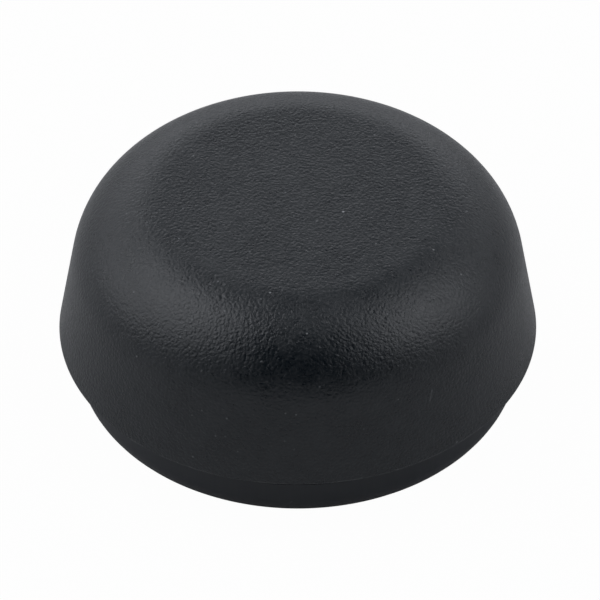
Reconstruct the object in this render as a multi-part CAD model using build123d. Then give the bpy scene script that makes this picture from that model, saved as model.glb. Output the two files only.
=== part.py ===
from build123d import *
from math import cos, radians, sin, sqrt, tan
import os

# Snap-in hole plug, moulded in one piece. A deep cap covers a round hole in sheet. Under its
# rim a neck takes the sheet's edge, a barb holds behind the sheet, and a rounded nose leads
# the plug in. The inside is cored out from below. Millimetres, +Z up through the crown.
# The origin is on the plug's axis, in the plane where the rim seats on the sheet.

# The hole that it fits
hole_diameter = 28.6
sheet_thickness = 0.8       # the neck is as long

# What goes past the hole's edge or stays inside it, on the radius
rim_overlap = 1.7
neck_clearance = 0.1
barb_catch = 0.7
nose_clearance = 0.7

# Cap
head_height = 11.0          # seating plane to crown
side_draft = 9.5            # degrees, cap wall from the axis, narrower towards the crown
shoulder_radius = 6.15      # blend between the wall and the flat crown

# Barb and nose
barb_draft = 4.8            # degrees, from the axis, narrower towards the nose
barb_bevel = 0.15           # on the edge that locks behind the sheet
lead_in_radius = 2.6        # from the barb's side to the flat end
skirt_depth = 4.25          # seating plane to the flat end

# Core
crown_wall = 2.0
neck_wall = 1.5
core_draft = 1.5            # degrees, from the axis, narrower towards the crown
core_bevel = 2.2            # keeps the wall even inside the cap's shoulder
mouth_bevel = 0.3

hole_radius = hole_diameter / 2
rim_radius = hole_radius + rim_overlap
neck_radius = hole_radius - neck_clearance
barb_radius = hole_radius + barb_catch
nose_radius = hole_radius - nose_clearance
core_radius = neck_radius - neck_wall


def lead_in(barb_edge, nose):
    """Where a lead-in that ends on the nose's edge leaves the barb's drafted side, tangent to it."""
    draft = radians(barb_draft)
    down_the_side = Vector(-sin(draft), -cos(draft))
    outward = Vector(cos(draft), -sin(draft))
    inset = (barb_edge - nose).dot(outward)
    run = sqrt(inset * (2 * lead_in_radius - inset))
    return barb_edge + down_the_side * ((nose - barb_edge).dot(down_the_side) - run)


def solid_section():
    """Half section of the plug before it is cored, from the axis to its outside."""
    shoulder = Vector(rim_radius - head_height * tan(radians(side_draft)), head_height)
    barb_edge = Vector(barb_radius, -sheet_thickness)
    nose = Vector(nose_radius, -skirt_depth)
    tangent = lead_in(barb_edge, nose)
    with BuildSketch() as section:
        with BuildLine():
            Polyline((0, -skirt_depth), (0, head_height), shoulder, (rim_radius, 0),
                     (neck_radius, 0), (neck_radius, -sheet_thickness), barb_edge, tangent)
            RadiusArc(tangent, nose, lead_in_radius)
            Line(nose, (0, -skirt_depth))
        make_face()
        fillet(corner_at(section, shoulder), shoulder_radius)
        chamfer(corner_at(section, barb_edge), barb_bevel)
    return section.sketch


def core_section():
    """Half section of the core that hollows the plug, from its mouth to the crown's underside."""
    slope = tan(radians(core_draft))
    ceiling = Vector(core_radius - (head_height - crown_wall) * slope, head_height - crown_wall)
    mouth = Vector(core_radius + skirt_depth * slope, -skirt_depth)
    with BuildSketch() as section:
        with BuildLine():
            Polyline((0, -skirt_depth), (0, ceiling.Y), ceiling,
                     mouth + Vector(-mouth_bevel * slope, mouth_bevel),
                     mouth + Vector(mouth_bevel, 0), close=True)
        make_face()
        chamfer(corner_at(section, ceiling), core_bevel)
    return section.sketch


def corner_at(section, place):
    """The section's corner at the given place."""
    return section.vertices().sort_by_distance(place)[0]


def turned(section):
    """A half section, drawn with X as radius and Y as height, revolved about the plug's axis."""
    return revolve(Plane.XZ * section, Axis.Z)


def main():
    os.makedirs("parts", exist_ok=True)
    plug = turned(solid_section()) - turned(core_section())
    export_step(plug, "parts/plug.step")
    print("plug", round(plug.volume, 2), "mm3", plug.bounding_box())


main()
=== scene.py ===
import sys

import logging
import math
from dataclasses import dataclass, field
from enum import Enum
from typing import Any, Callable, Mapping

import bmesh
import bpy
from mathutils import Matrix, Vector


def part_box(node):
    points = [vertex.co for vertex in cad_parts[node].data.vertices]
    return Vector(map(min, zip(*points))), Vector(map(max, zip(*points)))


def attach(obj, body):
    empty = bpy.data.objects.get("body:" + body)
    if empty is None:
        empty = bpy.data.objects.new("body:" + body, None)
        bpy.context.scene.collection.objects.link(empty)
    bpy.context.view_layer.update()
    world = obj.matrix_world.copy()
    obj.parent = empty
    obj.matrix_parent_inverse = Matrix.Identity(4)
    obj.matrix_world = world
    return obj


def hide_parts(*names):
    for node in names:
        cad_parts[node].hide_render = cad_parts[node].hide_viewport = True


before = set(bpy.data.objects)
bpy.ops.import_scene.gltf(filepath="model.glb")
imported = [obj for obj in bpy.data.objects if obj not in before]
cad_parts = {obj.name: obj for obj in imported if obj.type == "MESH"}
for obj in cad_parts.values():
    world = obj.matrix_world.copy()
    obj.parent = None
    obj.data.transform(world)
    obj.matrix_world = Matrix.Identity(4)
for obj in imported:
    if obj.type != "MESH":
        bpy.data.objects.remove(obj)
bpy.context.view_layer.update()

MM = 0.001
LOG = logging.getLogger("hole_plug")

Point = tuple[float, float]
Place = tuple[float, float, float]
Colour = tuple[float, float, float]


class Zone(Enum):
    """The plug's three kinds of surface, by material slot."""

    CAP = 0
    SKIRT = 1
    CORE = 2


# ---------------------------------------------------------------------------
# Shader maths and nodes
# ---------------------------------------------------------------------------


class Wire:
    """A shader number on its way between sockets. Arithmetic on it adds Math nodes."""

    def __init__(self, shader: "Shader", socket: bpy.types.NodeSocket) -> None:
        """Holds one output socket.

        Args:
            shader: The shader that the socket belongs to.
            socket: The output socket that carries the number.
        """
        self.shader = shader
        self.socket = socket

    def _math(self, operation: str, *numbers: Any) -> "Wire":
        """Adds one Math node.

        Args:
            operation: The Math node's operation.
            numbers: Its inputs in order, wires or plain numbers.

        Returns:
            The node's result.
        """
        made = self.shader.node("ShaderNodeMath", {"operation": operation}, dict(enumerate(numbers)))
        return Wire(self.shader, made.outputs[0])

    def __add__(self, other: Any) -> "Wire":
        """This number and another, added."""
        return self._math("ADD", self, other)

    def __radd__(self, other: Any) -> "Wire":
        """Another number and this one, added."""
        return self._math("ADD", other, self)

    def __sub__(self, other: Any) -> "Wire":
        """This number less another."""
        return self._math("SUBTRACT", self, other)

    def __rsub__(self, other: Any) -> "Wire":
        """Another number less this one."""
        return self._math("SUBTRACT", other, self)

    def __mul__(self, other: Any) -> "Wire":
        """This number times another."""
        return self._math("MULTIPLY", self, other)

    def __rmul__(self, other: Any) -> "Wire":
        """Another number times this one."""
        return self._math("MULTIPLY", other, self)

    def __pow__(self, other: Any) -> "Wire":
        """This number raised to a power."""
        return self._math("POWER", self, other)

    def larger(self, other: Any) -> "Wire":
        """The larger of this number and another."""
        return self._math("MAXIMUM", self, other)

    def ramped(self, low: float, high: float, to_low: float = 0.0, to_high: float = 1.0) -> "Wire":
        """Carries the number smoothly from one range to another.

        Args:
            low: Where the change starts.
            high: Where it ends; it may be below the start.
            to_low: The result at the start and before it.
            to_high: The result at the end and after it.

        Returns:
            The number in its new range.
        """
        made = self.shader.node(
            "ShaderNodeMapRange",
            {"interpolation_type": "SMOOTHSTEP"},
            {"Value": self, "From Min": low, "From Max": high, "To Min": to_low, "To Max": to_high},
        )
        return Wire(self.shader, made.outputs["Result"])


class Shader:
    """One material's nodes, from object coordinates to the surface."""

    def __init__(self, tree: bpy.types.NodeTree) -> None:
        """Starts on an emptied node tree.

        Args:
            tree: The material's or the world's node tree.
        """
        self.tree = tree
        tree.nodes.clear()

    @classmethod
    def for_material(cls, name: str) -> tuple[bpy.types.Material, "Shader"]:
        """Makes a material and the shader that fills it.

        Args:
            name: The material's name.

        Returns:
            The material and its shader.
        """
        material = bpy.data.materials.new(name)
        material.use_nodes = True
        return material, cls(material.node_tree)

    def node(
        self,
        kind: str,
        settings: Mapping[str, Any] | None = None,
        sockets: Mapping[Any, Any] | None = None,
    ) -> bpy.types.Node:
        """Adds a node, sets it up and fills its sockets.

        Args:
            kind: The node's type.
            settings: Its own settings, set before its sockets are looked up.
            sockets: Values, wires or output sockets, by the input's name or number.

        Returns:
            The new node.
        """
        made = self.tree.nodes.new(kind)
        for name, value in (settings or {}).items():
            setattr(made, name, value)
        for key, value in (sockets or {}).items():
            entry = made.inputs[key]
            if isinstance(value, Wire):
                value = value.socket
            if isinstance(value, bpy.types.NodeSocket):
                self.tree.links.new(value, entry)
            elif isinstance(value, tuple) and len(value) == 3 and entry.type == "RGBA":
                entry.default_value = (*value, 1.0)
            else:
                entry.default_value = value
        return made

    def object_place(self) -> bpy.types.NodeSocket:
        """The surface point in the part's own frame, in metres."""
        return self.node("ShaderNodeTexCoord").outputs["Object"]

    def parts_of(self, vector: bpy.types.NodeSocket) -> tuple[Wire, Wire, Wire]:
        """A vector's three numbers."""
        split = self.node("ShaderNodeSeparateXYZ", None, {0: vector})
        return tuple(Wire(self, socket) for socket in split.outputs)

    def from_axis(self, vector: bpy.types.NodeSocket) -> Wire:
        """How far a point lies from the part's axis."""
        x, y, _ = self.parts_of(vector)
        return (x * x + y * y) ** 0.5

    def stretched(self, vector: bpy.types.NodeSocket, scale: Place) -> bpy.types.NodeSocket:
        """A vector stretched along the three directions."""
        made = self.node("ShaderNodeVectorMath", {"operation": "MULTIPLY"}, {0: vector, 1: scale})
        return made.outputs["Vector"]

    def clouds(
        self, place: bpy.types.NodeSocket, pitch: float, detail: float = 2.0, rough: float = 0.5
    ) -> Wire:
        """Soft noise from 0 to 1.

        Args:
            place: The coordinates that it follows.
            pitch: The size of its largest lumps, in metres.
            detail: How many finer layers lie over them.
            rough: How strong the finer layers are.

        Returns:
            The noise as a number around one half.
        """
        made = self.node(
            "ShaderNodeTexNoise",
            {"noise_dimensions": "3D"},
            {"Vector": place, "Scale": 1.0 / pitch, "Detail": detail, "Roughness": rough},
        )
        return Wire(self, made.outputs[0])

    def pebbles(self, place: bpy.types.NodeSocket, pitch: float, soft: float) -> Wire:
        """Rounded cells, highest in their middles.

        Args:
            place: The coordinates that they follow.
            pitch: The cells' usual width, in metres.
            soft: How softly neighbouring cells run together, from 0 to 1.

        Returns:
            Height from 0 in the joints to about 1 on the tops.
        """
        made = self.node(
            "ShaderNodeTexVoronoi",
            {"feature": "SMOOTH_F1"},
            {"Vector": place, "Scale": 1.0 / pitch, "Smoothness": soft, "Randomness": 1.0},
        )
        return 1.0 - Wire(self, made.outputs["Distance"])

    def mixed(self, share: Any, first: Any, second: Any) -> bpy.types.NodeSocket:
        """Mixes two colours.

        Args:
            share: How much of the second colour, from 0 to 1.
            first: A colour or a colour socket.
            second: A colour or a colour socket.

        Returns:
            The mixed colour.
        """
        made = self.node("ShaderNodeMix", {"data_type": "RGBA"}, {0: share, 6: first, 7: second})
        return made.outputs[2]

    def bumped(self, height: Wire, depth: float) -> bpy.types.NodeSocket:
        """Turns a height into a normal.

        Args:
            height: The relief, from 0 to about 1.
            depth: How deep a relief of 1 is, in metres.

        Returns:
            The normal.
        """
        sockets = {"Strength": 1.0, "Distance": depth, "Height": height}
        return self.node("ShaderNodeBump", None, sockets).outputs["Normal"]

    def plastic(self, colour: Any, roughness: Any, normal: bpy.types.NodeSocket) -> None:
        """Ends the shader in one opaque plastic.

        Args:
            colour: Its colour.
            roughness: Its roughness.
            normal: Its relief.
        """
        surface = self.node(
            "ShaderNodeBsdfPrincipled",
            None,
            {"Base Color": colour, "Roughness": roughness, "Normal": normal},
        )
        self.node("ShaderNodeOutputMaterial", None, {"Surface": surface.outputs[0]})


# ---------------------------------------------------------------------------
# Finishes
# ---------------------------------------------------------------------------


@dataclass(frozen=True)
class Speck:
    """One mote of dust that has settled on the cap."""

    place: Place                # millimetres
    width: float                # millimetres
    brightness: float           # 0 to 1

    def cover(self, shader: Shader, place: bpy.types.NodeSocket) -> Wire:
        """How much of the mote covers the surface.

        Args:
            shader: The shader to add to.
            place: The part's coordinates.

        Returns:
            A share from 0 to the mote's brightness.
        """
        middle = tuple(value * MM for value in self.place)
        made = shader.node("ShaderNodeVectorMath", {"operation": "DISTANCE"}, {0: place, 1: middle})
        away = Wire(shader, made.outputs["Value"])
        return away.ramped(self.width * 0.65 * MM, self.width * 0.25 * MM) * self.brightness


@dataclass(frozen=True)
class Streak:
    """A short pale mark, straight between two places: a lint fibre or a scratch."""

    top: Place                  # millimetres
    bottom: Place
    width: float
    brightness: float

    def cover(self, shader: Shader, place: bpy.types.NodeSocket) -> Wire:
        """How much of the mark covers the surface.

        Args:
            shader: The shader to add to.
            place: The part's coordinates.

        Returns:
            A share from 0 to the mark's brightness.
        """
        top = Vector(self.top) * MM
        bottom = Vector(self.bottom) * MM
        along = (bottom - top).normalized()
        length = (bottom - top).length
        from_top = shader.node("ShaderNodeVectorMath", {"operation": "SUBTRACT"}, {0: place, 1: tuple(top)})
        run = shader.node(
            "ShaderNodeVectorMath", {"operation": "DOT_PRODUCT"}, {0: from_top.outputs[0], 1: tuple(along)}
        )
        reach = shader.node("ShaderNodeVectorMath", {"operation": "LENGTH"}, {0: from_top.outputs[0]})
        travelled = Wire(shader, run.outputs["Value"])
        straight = Wire(shader, reach.outputs["Value"])
        aside = (straight * straight - travelled * travelled).larger(0.0) ** 0.5
        started = travelled.ramped(-0.05 * length, 0.1 * length)
        not_ended = travelled.ramped(1.05 * length, 0.9 * length)
        beside = aside.ramped(self.width * MM, self.width * 0.3 * MM)
        return beside * (started * not_ended) * self.brightness


@dataclass(frozen=True)
class GrainedBlack:
    """Black plastic with a fine spark-eroded grain, matt on its tops and a little dusty, with a painted
    highlight along the rim edge.
    """

    name: str = "grained_black"
    colour: Colour = (0.0032, 0.0060, 0.0088)
    pale: Colour = (0.0122, 0.0154, 0.0184)
    roughness: float = 0.33
    grain_pitch: float = 0.18           # this and the next sizes in millimetres
    grain_depth: float = 0.065
    cell_pitch: float = 0.225
    fine_pitch: float = 0.08
    drift_pitch: float = 3.2
    patch_pitch: float = 0.9
    # painted highlight: a lighter colour along the rim edge, standing in for the edge catching light
    painted_rim_highlight: Colour = (0.045, 0.048, 0.050)
    rim_highlight_height: float = 0.11           # above the seating plane: the band along the rim edge where a highlight is painted
    rim_highlight_pitch: float = 1.8
    dust_colour: Colour = (0.30, 0.31, 0.32)
    dust_spacing: float = 0.75
    specks: tuple[Speck, ...] = (
        Speck((3.0, -1.35, 11.0), 0.17, 0.85),
        Speck((8.9, -5.05, 10.85), 0.15, 0.60),
        Speck((-1.8, -9.45, 10.97), 0.15, 0.60),
        Speck((0.6, -12.35, 9.96), 0.13, 0.45),
        Speck((-7.8, -4.1, 11.0), 0.14, 0.38),
        Speck((10.7, -6.4, 9.9), 0.13, 0.38),
        Speck((-5.2, -8.3, 10.94), 0.13, 0.34),
    )
    fibre: Streak = Streak((8.8, -12.35, 5.1), (8.65, -12.6, 4.3), 0.07, 0.16)

    def material(self) -> bpy.types.Material:
        """The finished material."""
        material, shader = Shader.for_material(self.name)
        place = shader.object_place()
        _, _, height = shader.parts_of(place)
        coarse = shader.clouds(place, self.grain_pitch * MM, 2.0, 0.55)
        cells = shader.pebbles(place, self.cell_pitch * MM, 0.35)
        fine = shader.clouds(place, self.fine_pitch * MM, 1.0, 0.5)
        relief = coarse * 0.60 + cells * 0.40 + fine * 0.18
        drift = shader.clouds(place, self.drift_pitch * MM, 3.0, 0.55)
        patches = shader.clouds(place, self.patch_pitch * MM, 2.0, 0.6)

        mottle = drift * 0.4 + patches * 0.3 + coarse * 0.3
        colour = shader.mixed(mottle.ramped(0.38, 0.64), self.colour, self.pale)
        # painted highlight along the rim edge: the band just above the seating plane is lightened, broken up
        # by noise
        at_rim = height.ramped(self.rim_highlight_height * MM, self.rim_highlight_height * 0.6 * MM)
        uneven = shader.clouds(place, self.rim_highlight_pitch * MM, 3.0, 0.6).ramped(0.36, 0.62, 0.15, 1.0)
        colour = shader.mixed(at_rim * uneven, colour, self.painted_rim_highlight)
        roughness = self.roughness + (drift - 0.5) * 0.16 + (patches - 0.5) * 0.12
        roughness = roughness + (coarse - 0.5) * 0.30
        normal = shader.bumped(relief, self.grain_depth * MM)

        dust = self._scattered_dust(shader, place)
        for speck in self.specks:
            dust = dust.larger(speck.cover(shader, place))
        dust = dust.larger(self.fibre.cover(shader, place))
        colour = shader.mixed(dust, colour, self.dust_colour)
        roughness = roughness + dust * 0.4
        shader.plastic(colour, roughness, normal)
        return material

    def _scattered_dust(self, shader: Shader, place: bpy.types.NodeSocket) -> Wire:
        """Fine dust, a grain here and there.

        Args:
            shader: The shader to add to.
            place: The part's coordinates.

        Returns:
            How much dust covers the surface, from 0 to 1.
        """
        made = shader.node(
            "ShaderNodeTexVoronoi",
            {"feature": "F1"},
            {"Vector": place, "Scale": 1.0 / (self.dust_spacing * MM), "Randomness": 1.0},
        )
        near = Wire(shader, made.outputs["Distance"]).ramped(0.13, 0.05)
        chance, strength, _ = shader.parts_of(made.outputs["Color"])
        return near * chance.ramped(0.60, 0.66) * strength.ramped(0.0, 1.0, 0.04, 0.30)


@dataclass(frozen=True)
class SmoothBlack:
    """The same plastic off a polished mould: satin, with fine draw lines down its drafted sides."""

    name: str = "smooth_black"
    colour: Colour = (0.0060, 0.0090, 0.0135)
    pale: Colour = (0.0095, 0.0125, 0.0170)
    roughness: float = 0.42
    drift_pitch: float = 2.6            # this and the next sizes in millimetres
    line_pitch: float = 0.22
    line_depth: float = 0.0022
    skin_pitch: float = 0.16
    scratch_colour: Colour = (0.30, 0.31, 0.32)
    scratch: Streak = Streak((-0.35, -14.85, -2.5), (-0.9, -14.5, -3.3), 0.07, 0.09)

    def material(self) -> bpy.types.Material:
        """The finished material."""
        material, shader = Shader.for_material(self.name)
        place = shader.object_place()
        drift = shader.clouds(place, self.drift_pitch * MM, 3.0, 0.55)
        drawn = shader.stretched(place, (1.0, 1.0, 0.06))
        lines = shader.clouds(drawn, self.line_pitch * MM, 2.0, 0.6)
        skin = shader.clouds(place, self.skin_pitch * MM, 2.0, 0.5)
        colour = shader.mixed(drift.ramped(0.38, 0.64), self.colour, self.pale)
        roughness = self.roughness + (drift - 0.5) * 0.14 + (lines - 0.5) * 0.12
        normal = shader.bumped(lines * 0.6 + skin * 0.6, self.line_depth * MM)
        colour = shader.mixed(self.scratch.cover(shader, place), colour, self.scratch_colour)
        shader.plastic(colour, roughness, normal)
        return material


@dataclass(frozen=True)
class CoreBlack:
    """The plastic off the turned core pin: dull, with faint rings round the axis."""

    name: str = "core_black"
    colour: Colour = (0.0070, 0.0095, 0.0135)
    pale: Colour = (0.0120, 0.0145, 0.0185)
    roughness: float = 0.50
    drift_pitch: float = 4.0            # this and the next sizes in millimetres
    ring_pitch: float = 0.18
    ring_depth: float = 0.0030
    skin_pitch: float = 0.20

    def material(self) -> bpy.types.Material:
        """The finished material."""
        material, shader = Shader.for_material(self.name)
        place = shader.object_place()
        _, _, height = shader.parts_of(place)
        out = shader.from_axis(place)
        drift = shader.clouds(place, self.drift_pitch * MM, 3.0, 0.55)
        skin = shader.clouds(place, self.skin_pitch * MM, 2.0, 0.5)
        travel = shader.node("ShaderNodeCombineXYZ", None, {0: out - height, 1: 0.0, 2: 0.0})
        rings = shader.clouds(travel.outputs[0], self.ring_pitch * MM, 2.0, 0.6)
        colour = shader.mixed(drift.ramped(0.36, 0.66), self.colour, self.pale)
        roughness = self.roughness + (drift - 0.5) * 0.14 + (rings - 0.5) * 0.16
        normal = shader.bumped(rings * 0.7 + skin * 0.4, self.ring_depth * MM)
        shader.plastic(colour, roughness, normal)
        return material


@dataclass(frozen=True)
class PaleSweep:
    """Matt white paper under and behind the part, which shows white and keeps the part's shadow."""

    name: str = "pale_sweep"
    colour: Colour = (0.52, 0.52, 0.52)
    lift: float = 0.98                  # how far the paper shows as plain white
    lift_in_gloss: float = 0.02         # and how far in the plastic's dark gloss
    fibre_pitch: float = 0.9            # millimetres

    def material(self) -> bpy.types.Material:
        """The finished material."""
        material, shader = Shader.for_material(self.name)
        place = shader.object_place()
        fibres = shader.clouds(place, self.fibre_pitch * MM, 3.0, 0.6)
        lighter = tuple(part * 1.02 for part in self.colour)
        colour = shader.mixed(fibres, self.colour, lighter)
        paper = shader.node("ShaderNodeBsdfDiffuse", None, {"Color": colour})
        white = shader.node("ShaderNodeEmission", None, {"Color": (1.0, 1.0, 1.0), "Strength": 1.0})
        rays = shader.node("ShaderNodeLightPath")
        seen = Wire(shader, rays.outputs["Is Camera Ray"]) * self.lift
        mirrored = Wire(shader, rays.outputs["Is Glossy Ray"]).larger(
            Wire(shader, rays.outputs["Is Transmission Ray"])
        ) * self.lift_in_gloss
        surface = shader.node(
            "ShaderNodeMixShader", None, {0: seen.larger(mirrored), 1: paper.outputs[0], 2: white.outputs[0]}
        )
        shader.node("ShaderNodeOutputMaterial", None, {"Surface": surface.outputs[0]})
        return material


# ---------------------------------------------------------------------------
# Modelling
# ---------------------------------------------------------------------------


class Workpiece:
    """One mesh on the bench: added, shaped with the edit tools, and finished."""

    def __init__(self, name: str) -> None:
        """Clears the selection and opens a new mesh in edit mode.

        Args:
            name: The piece's name.
        """
        if bpy.context.object and bpy.context.object.mode != "OBJECT":
            bpy.ops.object.mode_set(mode="OBJECT")
        bpy.ops.object.select_all(action="DESELECT")
        self.name = name
        self.piece: bpy.types.Object | None = None

    def opened(self) -> "Workpiece":
        """Takes the primitive that was just added and opens it in edit mode."""
        self.piece = bpy.context.object
        self.piece.name = self.name
        self.piece.data.name = self.name
        bpy.ops.object.mode_set(mode="EDIT")
        return self

    def pick(self, wanted: Callable[[Any], bool], kind: str) -> int:
        """Selects what passes a test, and nothing else.

        Args:
            wanted: The test on a vertex, an edge or a face.
            kind: "VERT", "EDGE" or "FACE".

        Returns:
            How many passed.
        """
        bpy.ops.mesh.select_mode(type=kind)
        bpy.ops.mesh.select_all(action="DESELECT")
        mesh = bmesh.from_edit_mesh(self.piece.data)
        found = 0
        for item in {"VERT": mesh.verts, "EDGE": mesh.edges, "FACE": mesh.faces}[kind]:
            if wanted(item):
                item.select_set(True)
                found += 1
        mesh.select_flush_mode()
        bmesh.update_edit_mesh(self.piece.data)
        return found

    def closed(self, smooth_angle: float) -> bpy.types.Object:
        """Leaves edit mode and smooths what isn't an edge.

        Args:
            smooth_angle: Faces that meet below this angle, in degrees, are smoothed together.

        Returns:
            The finished piece.
        """
        bpy.ops.object.mode_set(mode="OBJECT")
        bpy.ops.object.shade_smooth_by_angle(angle=math.radians(smooth_angle))
        return self.piece


@dataclass
class PlugShell:
    """The whole moulded skin: crown, shoulder, wall, rim, neck, barb, nose and core. Millimetres."""

    rim_radius: float
    head_height: float
    skirt_depth: float
    side_draft: float = 9.5
    shoulder_radius: float = 6.15
    neck_radius: float = 14.2
    neck_length: float = 0.8
    barb_radius: float = 15.0
    barb_draft: float = 4.8
    barb_bevel: float = 0.15
    lead_in_radius: float = 2.6
    nose_radius: float = 13.6
    core_radius: float = 12.7
    core_draft: float = 1.5
    core_bevel: float = 2.2
    crown_wall: float = 2.0
    mouth_bevel: float = 0.3
    rim_round: float = 0.04
    edge_round: float = 0.04
    steps_round: int = 240
    shoulder_steps: int = 26
    lead_in_steps: int = 9
    weld: float = 0.002         # points nearer than this become one
    smooth_below: float = 24.0  # degrees between faces
    piece: bpy.types.Object | None = field(default=None, init=False)

    @classmethod
    def from_frame(cls) -> "PlugShell":
        """Takes the plug's overall sizes from its CAD node."""
        low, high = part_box("plug")
        return cls(rim_radius=high.x / MM, head_height=high.z / MM, skirt_depth=-low.z / MM)

    @staticmethod
    def arc(centre: Point, radius: float, start: float, end: float, steps: int) -> list[Point]:
        """Points along an arc, both ends included.

        Args:
            centre: Its centre.
            radius: Its radius.
            start: The first angle in radians, from the outward direction towards the crown.
            end: The last angle.
            steps: How many straight steps it has.

        Returns:
            The points.
        """
        turns = [start + (end - start) * step / steps for step in range(steps + 1)]
        return [(centre[0] + radius * math.cos(turn), centre[1] + radius * math.sin(turn)) for turn in turns]

    def shoulder(self) -> list[Point]:
        """The blend from the flat crown into the drafted wall."""
        draft = math.radians(self.side_draft)
        drop = self.head_height - self.shoulder_radius
        inset = (self.shoulder_radius + drop * math.sin(draft)) / math.cos(draft)
        centre = (self.rim_radius - inset, drop)
        return self.arc(centre, self.shoulder_radius, math.pi / 2, draft, self.shoulder_steps)

    def barb(self) -> list[Point]:
        """The barb's bevelled edge, its drafted side and the lead-in down to the nose."""
        draft = math.radians(self.barb_draft)
        edge = Vector((self.barb_radius, -self.neck_length))
        nose = Vector((self.nose_radius, -self.skirt_depth))
        down = Vector((-math.sin(draft), -math.cos(draft)))
        outward = Vector((math.cos(draft), -math.sin(draft)))
        inset = (edge - nose).dot(outward)
        run = math.sqrt(inset * (2 * self.lead_in_radius - inset))
        tangent = edge + down * ((nose - edge).dot(down) - run)
        centre = tangent - outward * self.lead_in_radius
        last = math.atan2(nose.y - centre.y, nose.x - centre.x)
        bevelled = edge + down * self.barb_bevel
        lead_in = self.arc(tuple(centre), self.lead_in_radius, -draft, last, self.lead_in_steps)
        return [(edge.x - self.barb_bevel, edge.y), tuple(bevelled), *lead_in]

    def core(self) -> list[Point]:
        """The core, from its mouth up to the crown's underside."""
        slope = math.tan(math.radians(self.core_draft))
        ceiling = self.head_height - self.crown_wall
        corner = Vector((self.core_radius - ceiling * slope, ceiling))
        mouth = Vector((self.core_radius + self.skirt_depth * slope, -self.skirt_depth))
        up = Vector((-slope, 1.0)).normalized()
        below = corner - up * self.core_bevel
        return [
            (mouth.x + self.mouth_bevel, mouth.y),
            (mouth.x - self.mouth_bevel * slope, mouth.y + self.mouth_bevel),
            tuple(below),
            (corner.x - self.core_bevel, corner.y),
            (0.0, ceiling),
        ]

    def outline(self) -> list[Point]:
        """The half section's outline, from the crown's middle round to the core's."""
        neck = [
            (self.rim_radius, 0.0),
            (self.neck_radius, 0.0),
            (self.neck_radius, -self.neck_length),
        ]
        return [(0.0, self.head_height), *self.shoulder(), *neck, *self.barb(), *self.core()]

    def build(self) -> bpy.types.Object:
        """Draws the half section, spins it about the axis and rounds its edges.

        Returns:
            The finished mesh.
        """
        points = self.outline()
        bench = Workpiece("plug_shell")
        bpy.ops.mesh.primitive_plane_add(size=0.1 * MM, location=(0.0, 0.0, self.head_height * MM))
        bpy.ops.object.transform_apply(location=True)
        bench.opened()
        bpy.ops.mesh.select_all(action="SELECT")
        bpy.ops.mesh.merge(type="CENTER")
        for (radius, height), (next_radius, next_height) in zip(points, points[1:]):
            step = ((next_radius - radius) * MM, 0.0, (next_height - height) * MM)
            bpy.ops.mesh.extrude_region_move(TRANSFORM_OT_translate={"value": step})
        bpy.ops.mesh.select_all(action="SELECT")
        bpy.ops.mesh.spin(steps=self.steps_round, angle=math.tau, center=(0, 0, 0), axis=(0, 0, 1))
        bpy.ops.mesh.select_all(action="SELECT")
        bpy.ops.mesh.remove_doubles(threshold=self.weld * MM)
        bpy.ops.mesh.normals_make_consistent(inside=False)
        self._round_edges(bench)
        bpy.ops.mesh.select_all(action="SELECT")
        bpy.ops.mesh.normals_make_consistent(inside=False)
        self.piece = bench.closed(self.smooth_below)
        return self.piece

    def _round_edges(self, bench: Workpiece) -> None:
        """Rounds the rings where faces meet sharply.

        Args:
            bench: The piece, open in edit mode.
        """
        rounded = [
            ((self.rim_radius, 0.0), self.rim_round),
            ((self.neck_radius, 0.0), self.edge_round),
            ((self.neck_radius, -self.neck_length), self.edge_round),
            ((self.barb_radius - self.barb_bevel, -self.neck_length), self.edge_round),
            ((self.nose_radius, -self.skirt_depth), self.edge_round * 1.5),
        ]
        for (radius, height), size in rounded:
            count = bench.pick(self._ring(radius * MM, height * MM), "EDGE")
            if count != self.steps_round:
                raise ValueError(f"the ring at radius {radius} and height {height} has {count} edges")
            bpy.ops.mesh.bevel(
                offset=size * MM, segments=3, profile=0.5, affect="EDGES", clamp_overlap=True
            )

    def _ring(self, radius: float, height: float) -> Callable[[bmesh.types.BMEdge], bool]:
        """A test for the edges of one ring, by its radius and height in metres."""
        near = 2 * self.weld * MM

        def on_ring(edge: bmesh.types.BMEdge) -> bool:
            """True if both ends lie on the ring."""
            return all(
                abs(math.hypot(end.co.x, end.co.y) - radius) < near and abs(end.co.z - height) < near
                for end in edge.verts
            )

        return on_ring

    def zone(self, middle: Vector, normal: Vector) -> Zone:
        """Which kind of surface a face is.

        Args:
            middle: The face's middle, in metres.
            normal: The face's normal.

        Returns:
            Its zone.
        """
        radius = math.hypot(middle.x, middle.y) / MM
        height = middle.z / MM
        inward = middle.x * normal.x + middle.y * normal.y < 0.0
        facing_down = normal.z < -0.5
        mouth = self.core_radius + self.mouth_bevel
        if radius < mouth + self.edge_round and (inward or facing_down):
            return Zone.CORE
        if height > 0.0 and not facing_down:
            return Zone.CAP
        return Zone.SKIRT

    def dress(self) -> None:
        """Gives each face its zone's finish, and hands the piece to the frame."""
        made = {
            Zone.CAP: GrainedBlack().material(),
            Zone.SKIRT: SmoothBlack().material(),
            Zone.CORE: CoreBlack().material(),
        }
        mesh = self.piece.data
        for zone in Zone:
            mesh.materials.append(made[zone])
        for face in mesh.polygons:
            face.material_index = self.zone(face.center, face.normal).value
        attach(self.piece, "root")
        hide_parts("plug")


# ---------------------------------------------------------------------------
# Studio
# ---------------------------------------------------------------------------


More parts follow.
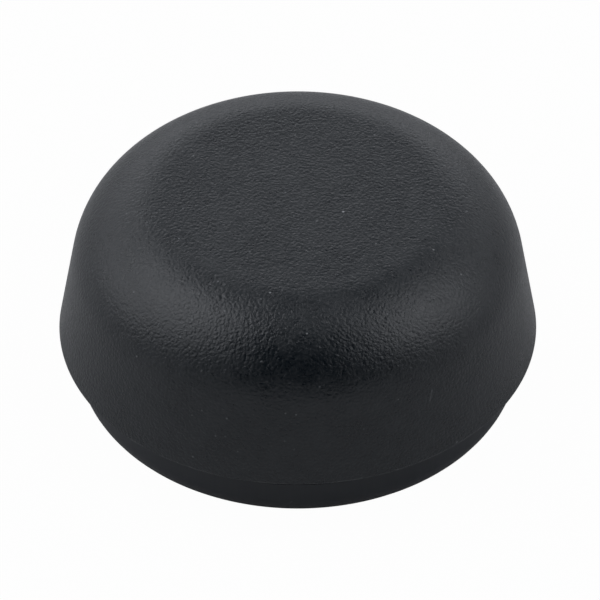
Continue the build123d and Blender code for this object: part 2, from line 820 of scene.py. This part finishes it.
@dataclass
class Sweep:
    """A round paper floor with its edge turned up, so that low views also see paper."""

    floor_height: float         # metres
    radius: float = 1.6
    edge_height: float = 0.16
    edge_rounding: float = 0.09

    def build(self) -> bpy.types.Object:
        """Makes the floor and turns up its edge.

        Returns:
            The finished floor.
        """
        bench = Workpiece("sweep")
        bpy.ops.mesh.primitive_circle_add(
            vertices=96, radius=self.radius, fill_type="NOTHING", location=(0.0, 0.0, self.floor_height)
        )
        bpy.ops.object.transform_apply(location=True)
        bench.opened()
        bpy.ops.mesh.select_all(action="SELECT")
        bpy.ops.mesh.extrude_region_move(TRANSFORM_OT_translate={"value": (0.0, 0.0, self.edge_height)})
        bench.pick(
            lambda edge: all(
                abs(end.co.z - self.floor_height) < 1e-5 and end.co.xy.length > self.radius * 0.99
                for end in edge.verts
            ),
            "EDGE",
        )
        bpy.ops.mesh.edge_face_add()
        bpy.ops.mesh.bevel(offset=self.edge_rounding, segments=6, profile=0.5, affect="EDGES")
        bpy.ops.mesh.select_all(action="SELECT")
        bpy.ops.mesh.normals_make_consistent(inside=True)
        floor = bench.closed(40.0)
        floor.data.materials.append(PaleSweep().material())
        return floor


@dataclass(frozen=True)
class Softbox:
    """A rectangular soft lamp that faces the part."""

    name: str
    azimuth: float              # degrees, 0 on the camera's side and 90 on its right
    elevation: float            # degrees above the floor
    width: float                # degrees, as seen from the part
    height: float
    power: float                # watts
    distance: float = 1.2       # metres
    tint: Colour = (0.97, 0.985, 1.03)

    def place(self, target: Vector) -> bpy.types.Object:
        """Sets the lamp up.

        Args:
            target: The point that it faces.

        Returns:
            The lamp.
        """
        lamp = bpy.data.lights.new(self.name, "AREA")
        lamp.shape = "RECTANGLE"
        lamp.size = 2 * self.distance * math.tan(math.radians(self.width) / 2)
        lamp.size_y = 2 * self.distance * math.tan(math.radians(self.height) / 2)
        lamp.energy = self.power
        lamp.color = self.tint
        stand = bpy.data.objects.new(self.name, lamp)
        bpy.context.scene.collection.objects.link(stand)
        turn, rise = math.radians(self.azimuth), math.radians(self.elevation)
        towards = Vector(
            (math.cos(rise) * math.sin(turn), -math.cos(rise) * math.cos(turn), math.sin(rise))
        )
        stand.location = target + towards * self.distance
        stand.rotation_euler = towards.to_track_quat("Z", "Y").to_euler()
        stand.visible_camera = False
        return stand


@dataclass(frozen=True)
class Studio:
    """The paper, the lamps and the plain surroundings."""

    surroundings: float = 0.0
    floor_gap: float = 0.02     # millimetres, so that the nose and the paper don't share a plane
    lamps: tuple[Softbox, ...] = (
        Softbox("left_high", 262.0, 60.0, 44.0, 30.0, 4.6),
        Softbox("left_mid", 268.0, 34.0, 44.0, 24.0, 2.1),
        Softbox("left_low", 262.0, 13.0, 46.0, 14.0, 1.8),
        Softbox("left_front", 306.0, 34.0, 30.0, 34.0, 1.2),
        Softbox("right_high", 96.0, 60.0, 44.0, 30.0, 2.9),
        Softbox("right_mid", 84.0, 36.0, 40.0, 24.0, 2.5),
        Softbox("right_low", 92.0, 13.0, 46.0, 14.0, 1.1),
        Softbox("right_front", 52.0, 34.0, 28.0, 34.0, 0.9),
        Softbox("back_right_low", 142.0, 17.0, 40.0, 20.0, 1.1),
        Softbox("back_low", 180.0, 17.0, 40.0, 20.0, 1.65),
        Softbox("back_left_low", 218.0, 17.0, 40.0, 20.0, 1.35),
        Softbox("back_right_mid", 146.0, 42.0, 34.0, 24.0, 0.3),
        Softbox("back_mid", 184.0, 42.0, 34.0, 24.0, 0.55),
        Softbox("back_left_mid", 222.0, 42.0, 34.0, 24.0, 0.85),
    )

    def build(self, floor_height: float, target: Vector) -> None:
        """Lays the floor, sets the lamps and the surroundings.

        Args:
            floor_height: Where the part stands, in metres.
            target: The point that the lamps face.
        """
        Sweep(floor_height - self.floor_gap * MM).build()
        for lamp in self.lamps:
            lamp.place(target)
        world = bpy.data.worlds.new("surroundings")
        world.use_nodes = True
        shader = Shader(world.node_tree)
        background = shader.node(
            "ShaderNodeBackground", None, {"Color": (1.0, 1.0, 1.0), "Strength": self.surroundings}
        )
        shader.node("ShaderNodeOutputWorld", None, {"Surface": background.outputs[0]})
        bpy.context.scene.world = world
        bpy.context.scene.view_settings.view_transform = "Standard"


@dataclass(frozen=True)
class Viewpoint:
    """A long lens on the camera's side, looking down on the crown."""

    distance: float = 0.480     # metres
    elevation: float = 41.05    # degrees
    lens: float = 430.48        # millimetres
    aim: Place = (0.147, 0.0, 2.0976)   # millimetres

    def build(self) -> bpy.types.Object:
        """Makes the camera and gives it to the scene.

        Returns:
            The camera.
        """
        camera = bpy.data.cameras.new("camera")
        camera.sensor_width = 36.0
        camera.lens = self.lens
        camera.clip_start = 0.01
        camera.clip_end = 20.0
        stand = bpy.data.objects.new("camera", camera)
        bpy.context.scene.collection.objects.link(stand)
        rise = math.radians(self.elevation)
        back = Vector((0.0, -math.cos(rise), math.sin(rise))) * self.distance
        stand.location = Vector(self.aim) * MM + back
        stand.rotation_euler = (math.pi / 2 - rise, 0.0, 0.0)
        bpy.context.scene.camera = stand
        return stand


def main() -> None:
    """Builds the plug, the studio and the camera, and reports each."""
    logging.basicConfig(level=logging.INFO, format="%(name)s: %(message)s", stream=sys.stdout)
    bpy.ops.object.select_all(action="DESELECT")
    shell = PlugShell.from_frame()
    piece = shell.build()
    shell.dress()
    LOG.info("%s: %d faces, %d materials", piece.name, len(piece.data.polygons), len(piece.data.materials))
    low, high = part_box("plug")
    studio = Studio()
    studio.build(low.z, (low + high) / 2)
    LOG.info("studio: floor at %.2f mm, %d lamps", low.z / MM, len(studio.lamps))
    viewpoint = Viewpoint()
    viewpoint.build()
    LOG.info("camera: %.0f mm lens", viewpoint.lens)


if __name__ == "__main__":
    main()
